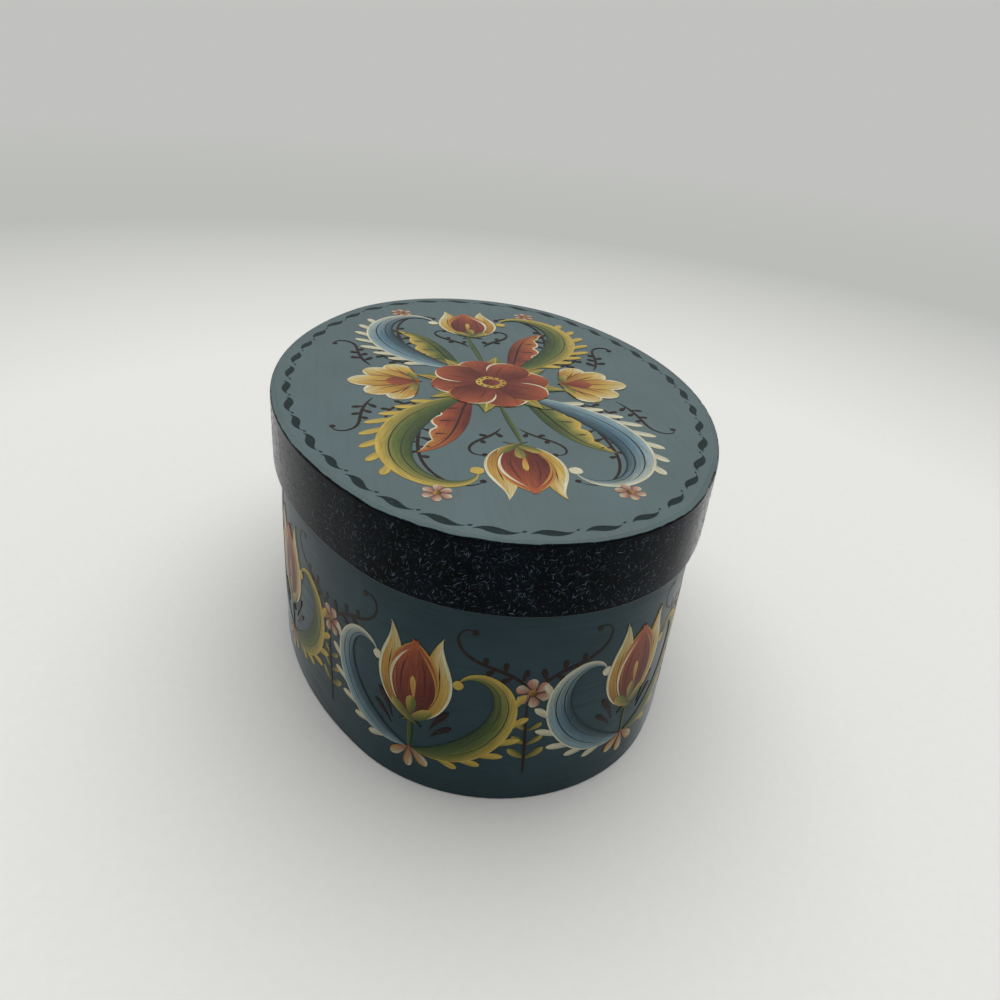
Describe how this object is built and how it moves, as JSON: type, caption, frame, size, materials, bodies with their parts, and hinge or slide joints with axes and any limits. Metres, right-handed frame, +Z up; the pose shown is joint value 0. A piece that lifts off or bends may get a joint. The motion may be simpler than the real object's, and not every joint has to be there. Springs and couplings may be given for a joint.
{
  "type": "oval bentwood box",
  "caption": "Oval bentwood box with a painted body and a lift-off lid whose band slides down over the rim.",
  "frame": {"origin": "centre of the box's underside, on the surface it stands on", "axes": "+X along the length of the oval, +Y towards the laps of the bent strips, +Z up through the lid"},
  "size_m": [0.21, 0.1514, 0.0936],
  "materials": {
    "bottom_board_wood": "planed, thin oil",
    "bottom_peg_wood": "cut flush, painted over at the head",
    "box_wall_paint": "satin oil paint outside, bare wood inside",
    "lacing_root": "split root, painted over outside",
    "lid_top_paint": "satin oil paint on top, bare wood below",
    "lid_peg_wood": "cut flush, painted over at the head",
    "lid_band_paint": "near-black satin paint with pale flecks"
  },
  "bodies": {
    "box": {"bottom_board": "bottom_board_wood", "bottom_pegs": "bottom_peg_wood", "body_band": "box_wall_paint", "body_lacing": "lacing_root"},
    "lid": {"lid_board": "lid_top_paint", "lid_pegs": "lid_peg_wood", "lid_band": "lid_band_paint"}
  },
  "joints": [
    {"name": "lid_lift", "type": "slide", "parent": "box", "child": "lid", "axis": [0, 0, 1], "range_m": [0, 0.1]}
  ]
}
